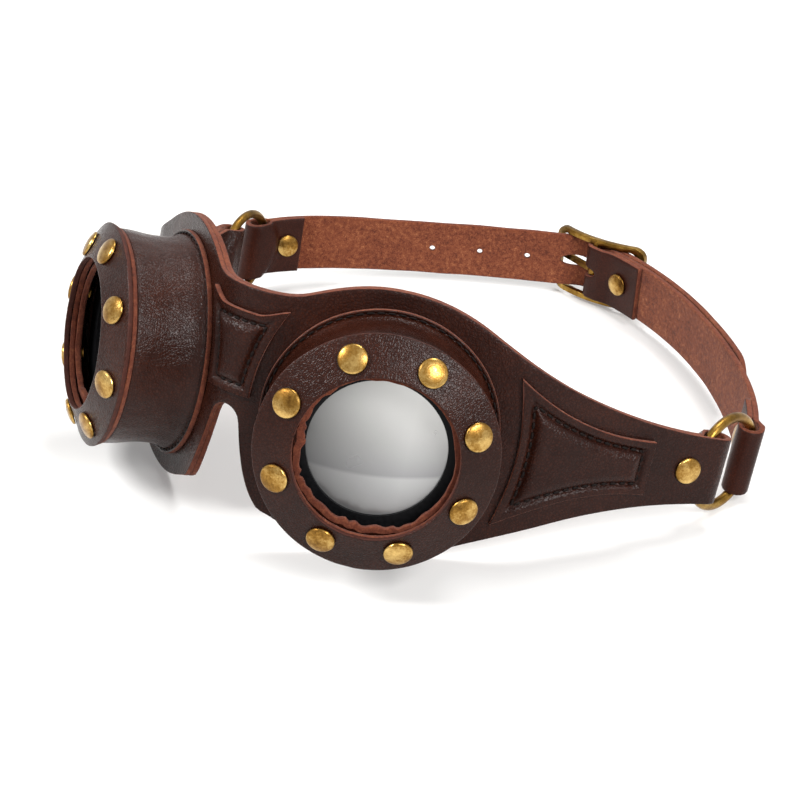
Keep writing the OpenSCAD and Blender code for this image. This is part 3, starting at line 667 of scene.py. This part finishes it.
def sewnPatch(name, corners, edgeOf, look, across, up, flip=1, node="bridge_patch"):
    thick = leather["thick"]
    bm = newPattern()
    grid = bmesh.ops.create_grid(bm, x_segments=across, y_segments=up, size=1)
    for v in grid["verts"]:
        x, y = corners(crowd((v.co.x + 1) / 2), v.co.y if node != "bridge_patch" else crowd((v.co.y + 1) / 2))
        v.co = (flip * x, y, 0)
    thicken(bm, thick, 0.28, 3)
    for v in bm.verts:
        x, y, z = v.co
        d = edgeOf(flip * x, y)
        if z > -thick / 2:
            z += grooveAt(d, look["inset"], 0.75, look["groove"])
            z += look["puff"] * ease((d - look["inset"]) / 3.2)
            z += 0.12 * noise.noise(Vector((x * 0.12, y * 0.12, 4)))
        v.co.z = z + thick
    bend(bm, maskFrame)
    place(name, bm, [outerLeather, outerLeather, cutEdge], [node])


def patchPath(corners, edgeOf, look, flip, low):
    path = []
    count = 60
    corner = [(0, low), (1, low), (1, 1), (0, 1), (0, low)]
    for (s0, t0), (s1, t1) in zip(corner, corner[1:]):
        for k in range(count):
            s, t = s0 + (s1 - s0) * k / count, t0 + (t1 - t0) * k / count
            x, y = corners(s, t)
            cx, cy = corners(0.5, (1 + low) / 2)
            toward = Vector((cx - x, cy - y))
            moves = 0
            while edgeOf(x, y) < look["inset"] and moves < 200:
                x += toward.x * 0.01
                y += toward.y * 0.01
                moves += 1
            p, out, up = maskFrame(flip * x)
            path.append((p + out * (leather["thick"] - look["groove"] + 0.22) + up * y, out))
    return path


rows = newPattern()
for side, node in ((1, "temple_patch_left"), (-1, "temple_patch_right")):
    name = "templePatch" + ("Left" if side > 0 else "Right")
    sewnPatch(name, templeXY, templeEdge, templePatch, 70, 56, side, node)
    stitchRow(rows, patchPath(templeXY, templeEdge, templePatch, side, -1), *templePatch["stitch"])
sewnPatch("bridgePatch", bridgeXY, bridgeEdge, bridgePatch, 48, 48)
stitchRow(rows, patchPath(bridgeXY, bridgeEdge, bridgePatch, 1, 0), *bridgePatch["stitch"])
print("patches sewn")


# eye cups
def slopePoint(r, depth):
    a = math.radians(cup["slope"])
    return r - depth * math.sin(a), cup["depth"] - (r - cup["hole"]) * math.tan(a) - depth * math.cos(a)


cupLook = {"steps": 192, "flangeGroove": 32.1, "wallFoot": 32.0, "pleats": 0.2, "ragged": 1.9,
           "gather": 3.8, "stitch": (2.9, 0.78, 0.38)}
lay = leather["thick"]
sinSlope = math.sin(math.radians(cup["slope"]))


def toCup(bm, side, wobble=None):
    centre, across, up, out = cupFrame(side)
    for v in bm.verts:
        p = v.co.copy()
        if wobble:
            p = wobble(p)
        v.co = centre + across * p.x + up * p.y + out * p.z


def revolve(bm, profile):
    verts = [bm.verts.new((r, 0, z)) for r, z in profile]
    edges = [bm.edges.new((a, b)) for a, b in zip(verts, verts[1:] + verts[:1])]
    bmesh.ops.spin(bm, geom=verts + edges, cent=(0, 0, 0), axis=(0, 0, 1), angle=2 * math.pi,
                   steps=cupLook["steps"], use_merge=True)
    bmesh.ops.remove_doubles(bm, verts=bm.verts, dist=0.001)
    bmesh.ops.recalc_face_normals(bm, faces=bm.faces)


def softenCorners(bm, angle, offset, segments=3):
    bm.normal_update()
    sharp = [e for e in bm.edges if len(e.link_faces) == 2 and e.calc_face_angle(0) > math.radians(angle)]
    roundEdges(bm, sharp, offset, segments)


def wallRadius(z):
    c = cup
    shoulderZ = slopePoint(c["shoulder"] + 2 * lay * sinSlope, 2 * lay)[1]
    if z < c["waistHeight"]:
        left = (c["waistHeight"] - z) / (c["waistHeight"] - lay)
        return c["waist"] + (cupLook["wallFoot"] - c["waist"]) * left ** 4
    part = ease((z - c["waistHeight"]) / (shoulderZ - c["waistHeight"]))
    return c["waist"] + (c["shoulder"] - c["waist"]) * part


# evenly spaced points of a profile, both ends included
def between(a, b, steps):
    return [(a[0] + (b[0] - a[0]) * i / steps, a[1] + (b[1] - a[1]) * i / steps) for i in range(steps + 1)]


# noise that goes round a cup and meets itself
def noiseRound(scale, a, shift, z):
    return noise.noise(Vector((scale * math.cos(a) + shift, scale * math.sin(a), z)))


def cupWall(side, name, node):
    bm = newPattern()
    shoulderZ = slopePoint(cup["shoulder"] + 2 * lay * sinSlope, 2 * lay)[1]
    turnedIn = slopePoint(cup["throat"] + 2 * lay * sinSlope, 2 * lay)
    turnedBack = slopePoint(cup["throat"] + 3 * lay * sinSlope, 3 * lay)
    innerZ = slopePoint(cup["shoulder"] - lay + 3 * lay * sinSlope, 3 * lay)[1]
    groove = cupLook["flangeGroove"]
    foot = [(cup["flange"], 0), (cup["flange"], lay - 0.05), (cup["flange"] - 0.5, lay),
            (groove + 0.45, lay - 0.1), (groove, lay - 0.6), (groove - 0.35, lay - 0.25)]
    heights = [lay + 0.2 + (shoulderZ - lay - 0.2) * (i / 22) ** 1.3 for i in range(23)]
    outside = [(wallRadius(z) - (0 if z > lay + 0.3 else 0.25), z) for z in heights]
    over = between(turnedIn, (outside[-1][0], shoulderZ), 8)[-2::-1]
    under = between(turnedBack, (cup["shoulder"] - lay, innerZ), 6)
    heights = [innerZ - (innerZ - 0.1) * i / 14 for i in range(1, 15)]
    inside = [(wallRadius(z) - lay, z) for z in heights]
    revolve(bm, foot + outside + over + under + inside)
    softenCorners(bm, 55, 0.25, 2)
    bm.normal_update()
    for f in bm.faces:
        c = f.calc_center_median()
        r = math.hypot(c.x, c.y)
        if r > cup["flange"] - 0.3 and c.z < lay - 0.1 or (r < cup["throat"] + 0.9 and c.z > 20):
            f.material_index = 1

    def wobble(p):
        r, a = math.hypot(p.x, p.y), math.atan2(p.y, p.x)
        shift = cupLook["pleats"] * noiseRound(7, a, side * 9, p.z * 0.12) * ease((p.z - 2) / 6)
        shift += 0.12 * noiseRound(2.2, a, 0, side) * (1 if p.z < 3 else 0)
        lift = 0
        near = 1 - ease((r - cup["throat"] + 0.3) / 3.4) if p.z > 18 else 0
        if near > 0:
            gather = ease((math.cos(a - cupLook["gather"]) + 0.45) / 1.2)
            b = a + 0.35 * noiseRound(2.3, a, 0, 4 + side)
            wave = 0.4 * noiseRound(2.6, b, 5 * side, 1.7) + gather * noiseRound(6.5, b, 0, 5 * side)
            shift += near * (cupLook["ragged"] * wave - 0.2 - 0.5 * gather)
            lift = -near * (0.3 + 2.4 * gather * abs(noiseRound(5, b, 0, 9 + side)))
        k = (r + shift) / r
        return Vector((p.x * k, p.y * k, p.z + lift))

    toCup(bm, side, wobble)
    place(name, bm, [cupLeather, cutEdge], [node])


def rimLayer(side, name, node, over, under, materials, seed):
    bm = newPattern()
    a = slopePoint(cup["hole"] + over * sinSlope, over)
    b = slopePoint(cup["rim"], over)
    c = slopePoint(cup["rim"], under)
    d = slopePoint(cup["hole"] + under * sinSlope, under)
    revolve(bm, between(a, b, 14) + between(c, d, 14))
    bm.normal_update()
    for f in bm.faces:
        m = f.calc_center_median()
        r = math.hypot(m.x, m.y)
        steep = abs(f.normal.z)
        outerCut = r > cup["rim"] - 0.08 - under * sinSlope and steep < 0.6
        f.material_index = 1 if outerCut or (r < cup["hole"] + 0.1 and steep < 0.5) else 0
    softenCorners(bm, 45, 0.38, 3)
    places = [math.radians(cup["turn"][side] + 45 * k) for k in range(cup["rivets"])]
    at = slopePoint(cup["circle"], 0)

    def wobble(p):
        r, t = math.hypot(p.x, p.y), math.atan2(p.y, p.x)
        edge = 0.16 * noiseRound(2.6, t, seed, seed) + 0.06 * noiseRound(11, t, 0, seed)
        edge *= ease((abs(r - (cup["rim"] + cup["hole"]) / 2) - 2) / 3)
        lift = 0.1 * noise.noise(Vector((p.x * 0.09, p.y * 0.09, seed)))
        if over == 0:
            for q in places:
                d2 = (p.x - at[0] * math.cos(q)) ** 2 + (p.y - at[0] * math.sin(q)) ** 2
                lift -= 0.28 * math.exp(-d2 / 22) - 0.1 * math.exp(-d2 / 60)
        k = (r + edge) / r
        return Vector((p.x * k, p.y * k, p.z + lift))

    toCup(bm, side, wobble)
    place(name, bm, materials, [node])


for side, word in ((1, "left"), (-1, "right")):
    tail = word.capitalize()
    cupWall(side, "cupWall" + tail, "cup_wall_" + word)
    rimLayer(side, "rimFront" + tail, "rim_front_" + word, 0, lay - 0.04, [cupLeather, darkEdge], 1.3 * side)
    rimLayer(side, "rimBack" + tail, "rim_back_" + word, lay + 0.04, 2 * lay, [darkEdge, cutEdge], 4.7 * side)
    centre, across, up, out = cupFrame(side)
    ring = []
    for k in range(180):
        a = 2 * math.pi * k / 180
        radial = across * math.cos(a) + up * math.sin(a)
        ring.append((centre + radial * (cupLook["flangeGroove"] + 0.1) + out * (lay - 0.28), out))
    stitchRow(rows, ring, *cupLook["stitch"])
place("stitches", rows, [thread])
print("eye cups formed")


# head strap
strap = {"barX": 8.2 + mask["side"], "barY": 190.6 + mask["back"], "barZ": 14.3,
         "ringRadius": 14, "ringHeading": 80, "heading": {1: 107, -1: 110},
         "ringFlap": 18, "buckleFlap": 23.2, "tail": 96, "tailClear": 0.72,
         "prongSlot": (6.4, 1.9), "prongLead": 8.4, "prongHole": (5.4, 2.2),
         "holes": 17.5, "holeLead": 8.2, "holeRadius": 1.0, "nip": 0.05, "barRadius": 1.3, "frameLength": 36,
         "endBar": 2.8, "frameBow": 4, "frameThick": 2}
sag = strap["ringRadius"] - math.sqrt(strap["ringRadius"] ** 2 - endHalf ** 2)


def flat(v):
    return Vector((v.x, v.y, 0))


def strapStart(side):
    ringWay, temple, way = strap["ringHeading"], mask["heading"][side], strap["heading"][side]
    centre = pointAt(foldAt, side) + inward(temple) * (leather["thick"] + mask["foldRadius"])
    c = centre - along(ringWay) * sag + inward(temple) * (sag * math.sin(math.radians(ringWay - temple)) / 2)
    c = c - along(temple) * 0.2 + along(ringWay) * strap["ringRadius"]
    c = c + along(ringWay) * (strap["ringRadius"] - sag) - along(way) * 1.2
    c = c + inward(way) * (sag * math.sin(math.radians(ringWay - way)) / 3.7)
    return standing @ Vector((side * c.x, c.y, riseAt(foldAt, side)))


bar = Vector((strap["barX"], strap["barY"], 0))
startShort, startLong = strapStart(1), strapStart(-1)
shortLine = [flat(startShort), flat(startShort) + 32 * along(107), bar - 42 * along(172), bar]
longEnd = bar + Vector((-(strap["frameLength"] - strap["endBar"]) / 2,
                        strap["frameBow"] - strap["frameThick"] / 2 - 2.86 * leather["strap"], 0))
longLine = [flat(startLong), flat(startLong) + 28 * along(70), longEnd - 46 * along(27), longEnd]
overBar = bar + Vector((0, strap["barRadius"] + 0.2 + leather["strap"] + strap["tailClear"], 0))
humpLine = [longEnd, longEnd + 6 * along(24), overBar - 7 * along(-12), overBar]


def bent(line, t):
    s = 1 - t
    return s ** 3 * line[0] + 3 * s * s * t * line[1] + 3 * s * t * t * line[2] + t ** 3 * line[3]


def bentWay(line, t):
    s = 1 - t
    way = s * s * (line[1] - line[0]) + 2 * s * t * (line[2] - line[1]) + t * t * (line[3] - line[2])
    return way.normalized()


def measured(line):
    table = [0]
    for i in range(1, 401):
        table.append(table[-1] + (bent(line, i / 400) - bent(line, (i - 1) / 400)).length)
    return table


tables = {id(line): measured(line) for line in (shortLine, longLine, humpLine)}


def lengthOf(line):
    return tables[id(line)][-1]


def placeAt(line, d):
    table = tables[id(line)]
    if d <= 0:
        return 0
    for i in range(1, 401):
        if d <= table[i]:
            return (i - 1 + (d - table[i - 1]) / (table[i] - table[i - 1])) / 400
    return 1


def onLine(line, d, side, startZ=None):
    t = placeAt(line, d)
    way = bentWay(line, t)
    lean = math.radians(mask["lean"]) * (1 - ease(t / 0.6)) if startZ is not None else 0
    up = Vector((0, math.sin(lean), math.cos(lean)))
    out = (side * way.cross(up)).normalized()
    z = strap["barZ"] if startZ is None else startZ + (strap["barZ"] - startZ) * ease(t / 0.7)
    p = bent(line, t)
    return Vector((p.x, p.y, z)), way, out, up


def ringGap(side, d, y):
    return hug(d - ringWire["shift"][side], y, ringWire["strapFold"][side], strap["nip"])


def barGap(d):
    return strap["nip"] + (strap["barRadius"] + 0.2 - strap["nip"]) * (1 - ease((d - 3) / 7))


def ringEnd(line, side, startZ, s, y):
    thick, shift, fold = leather["strap"], ringWire["shift"][side], ringWire["strapFold"][side]
    wrap = math.pi * (fold + thick / 2)
    if shift - s < wrap:
        p, way, out, up = onLine(line, shift, side, startZ)
        a = (shift - s) / wrap * math.pi
        turn = out * math.cos(a) - way * math.sin(a)
        return p + turn * (fold + thick), turn, up
    d = 2 * shift - s - wrap
    p, way, out, up = onLine(line, d, side, startZ)
    return p - out * (ringGap(side, d, y) + thick), -out, up


def shortFrame(s, y=0):
    thick = leather["strap"]
    total = lengthOf(shortLine)
    z = startShort.z
    if s < ringWire["shift"][1]:
        return ringEnd(shortLine, 1, z, s, y)
    if s <= total:
        p, way, out, up = onLine(shortLine, s, 1, z)
        return p + out * (max(ringGap(1, s, y), barGap(total - s)) + thick), out, up
    inner = strap["barRadius"] + 0.2
    wrap = math.pi * (inner + thick / 2)
    p, way, out, up = onLine(shortLine, total, 1, z)
    if s < total + wrap:
        a = (s - total) / wrap * math.pi
        turn = out * math.cos(a) + way * math.sin(a)
        return p + turn * (inner + thick), turn, up
    d = s - total - wrap
    p, way, out, up = onLine(shortLine, total - d, 1, z)
    return p - out * (barGap(d) + thick), -out, up


def longFrame(s, y=0):
    thick = leather["strap"]
    total, hump = lengthOf(longLine), lengthOf(humpLine)
    if s < ringWire["shift"][-1]:
        return ringEnd(longLine, -1, startLong.z, s, y)
    if s <= total:
        p, _, out, up = onLine(longLine, s, -1, startLong.z)
        return p + out * (ringGap(-1, s, y) + thick), out, up
    if s <= total + hump:
        p, _, out, up = onLine(humpLine, s - total, -1)
        return p + out * thick, out, up
    d = s - total - hump
    p, _, out, up = onLine(shortLine, lengthOf(shortLine) - d, 1, startShort.z)
    return p + out * (barGap(d) + 2 * thick + strap["tailClear"] - strap["nip"]), out, up


def cutStrap(name, node, frameAt, start, end, holes, tailFrom=None):
    bm = newPattern()
    radius = endHalf

    def high(x):
        if tailFrom is None or x < tailFrom:
            return radius
        e = x - tailFrom
        return max(1.6, math.sqrt(max(0, radius * radius - e * e)))

    def low(x):
        return -high(x)

    x = start
    for at, rx, ry in sorted(holes):
        reach = rx + 3.2
        if at - reach > x + 0.1:
            plainPanel(bm, x, at - reach, low, high, max(2, round((at - reach - x) / 1.3)), 14)
        holedPanel(bm, at - reach, at + reach, low, high, 12, 14, (at, 0), (rx, ry), 6)
        x = at + reach
    stop = end if tailFrom is None else tailFrom
    plainPanel(bm, x, stop, low, high, max(2, round((stop - x) / 1.3)), 14)
    if tailFrom is not None:
        plainPanel(bm, stop, end, low, high, 16, 14, lambda s: math.sin(s * math.pi / 2))
    thicken(bm, leather["strap"], 0.32)
    for v in bm.verts:
        drift = noise.noise(Vector((v.co.x * 0.09, 3 if v.co.y > 0 else 8, 2)))
        v.co.y += 0.14 * drift * abs(v.co.y) / radius
    bend(bm, frameAt)
    place(name, bm, [strapLeather, suede, cutEdge], [node])


def ringWrap(side):
    return math.pi * (ringWire["strapFold"][side] + leather["strap"] / 2) - 2 * ringWire["shift"][side]


barWrap = math.pi * (strap["barRadius"] + 0.2 + leather["strap"] / 2)
shortEnd = lengthOf(shortLine)
prongSlot = (shortEnd + barWrap / 2, *strap["prongSlot"])
shortStart, shortStop = -ringWrap(1) - strap["ringFlap"], shortEnd + barWrap + strap["buckleFlap"]
cutStrap("strapShort", "strap_short", shortFrame, shortStart, shortStop, [prongSlot])
longTotal = lengthOf(longLine)
humpTotal = lengthOf(humpLine)
firstHole, holeRadii = longTotal + strap["holeLead"], (strap["holeRadius"], strap["holeRadius"])
punched = [(firstHole + i * strap["holes"], *holeRadii) for i in (-1, -2, -3, 1, 2)]
punched += [(longTotal + strap["prongLead"], *strap["prongHole"])]
tailEnd = longTotal + humpTotal + strap["tail"]
longStart = -ringWrap(-1) - strap["ringFlap"]
cutStrap("strapLong", "strap_long", longFrame, longStart, tailEnd, punched, tailEnd - endHalf)
print("straps cut and folded, %.0f and %.0f mm long" % (shortStop - shortStart, tailEnd - longStart))


# buckle
def rounded(node, name, material, body, bevel):
    bm = newPattern()
    bm.from_mesh(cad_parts[node].data)
    bmesh.ops.remove_doubles(bm, verts=bm.verts, dist=1e-6)
    bmesh.ops.dissolve_limit(bm, angle_limit=math.radians(2), verts=bm.verts, edges=bm.edges)
    bmesh.ops.scale(bm, vec=(1000, 1000, 1000), verts=bm.verts)
    piece = place(name, bm, [material], [node], body)
    edge = piece.modifiers.new("edge", "BEVEL")
    edge.width = bevel * mm
    edge.segments = 3
    edge.limit_method = "ANGLE"
    edge.angle_limit = math.radians(35)
    edge.harden_normals = True
    return piece


rounded("buckle_frame", "buckleFrame", ringBrass, "buckle", 0.6)
rounded("buckle_prong", "buckleProng", ringBrass, "prong", 0.3)


# parts kept from the frame
def finishNode(node, material):
    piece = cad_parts[node]
    piece.data.materials.clear()
    piece.data.materials.append(material)
    piece.data.shade_smooth()


for word, side in (("left", 1), ("right", -1)):
    finishNode("rim_rivets_" + word, rivetBrass)
    finishNode("temple_rivet_" + word, rivetBrass)
    finishNode("o_ring_" + word, ringBrass)
    finishNode("lens_carrier_" + word, carrierBlack)
    finishNode("lens_" + word, paintedReflectionLens("lens" + word.capitalize(), side))
for node in ("strap_long_rivet", "strap_short_rivet", "buckle_rivet"):
    finishNode(node, rivetBrass)
print("metal and lenses finished")


# studio
studio = {"world": 0.22, "key": 10.0, "fill": 10.0, "top": 5.0, "floor": "#dedddb", "glow": 0.22}


def softLight(name, place3, size, power, target=(0, -0.03, 0.03)):
    data = bpy.data.lights.new(name, "AREA")
    data.shape = "RECTANGLE"
    data.size, data.size_y = size
    data.energy = power
    light = bpy.data.objects.new(name, data)
    light.location = place3
    light.rotation_euler = (Vector(target) - Vector(place3)).to_track_quat("-Z", "Y").to_euler()
    bpy.context.scene.collection.objects.link(light)


softLight("key", (-0.45, -0.6, 0.75), (0.3, 0.3), studio["key"])
softLight("fill", (0.75, -0.25, 0.65), (0.4, 0.4), studio["fill"])
softLight("top", (0.0, 0.35, 0.95), (0.4, 0.25), studio["top"])

# white to the camera and in reflections, softer as a light
def seenRays(nodes, links, path):
    bounced = math2(nodes, links, "MAXIMUM", path.outputs["Is Glossy Ray"], path.outputs["Is Transmission Ray"])
    return math2(nodes, links, "MAXIMUM", path.outputs["Is Camera Ray"], bounced)


world = bpy.data.worlds.new("studio")
bpy.context.scene.world = world
world.use_nodes = True
wn, wl = world.node_tree.nodes, world.node_tree.links
background = wn["Background"]
background.inputs["Color"].default_value = (1, 1, 1, 1)
path = wn.new("ShaderNodeLightPath")
seen = seenRays(wn, wl, path)
strength = wn.new("ShaderNodeMix")
strength.data_type = "FLOAT"
wl.new(seen, strength.inputs["Factor"])
strength.inputs["A"].default_value = studio["world"]
strength.inputs["B"].default_value = 1.0
wl.new(strength.outputs["Result"], background.inputs["Strength"])

bm = newPattern()
bmesh.ops.create_grid(bm, x_segments=1, y_segments=1, size=3)
floorMesh = bpy.data.meshes.new("floor")
bm.to_mesh(floorMesh)
bm.free()
floor = bpy.data.objects.new("floor", floorMesh)
floor.location.z = -0.0003
bpy.context.scene.collection.objects.link(floor)
floorFinish = bpy.data.materials.new("floor")
floorFinish.use_nodes = True
fn, fl = floorFinish.node_tree.nodes, floorFinish.node_tree.links
base = fn["Principled BSDF"]
base.inputs["Base Color"].default_value = paint(studio["floor"])
base.inputs["Roughness"].default_value = 0.7
base.inputs["Specular IOR Level"].default_value = 0.2
floorPath = fn.new("ShaderNodeLightPath")
glow = math2(fn, fl, "MULTIPLY", seenRays(fn, fl, floorPath), studio["glow"])
base.inputs["Emission Color"].default_value = (1, 1, 1, 1)
fl.new(glow, base.inputs["Emission Strength"])
floorMesh.materials.append(floorFinish)

bpy.context.scene.view_settings.view_transform = "Standard"
print("studio lit")
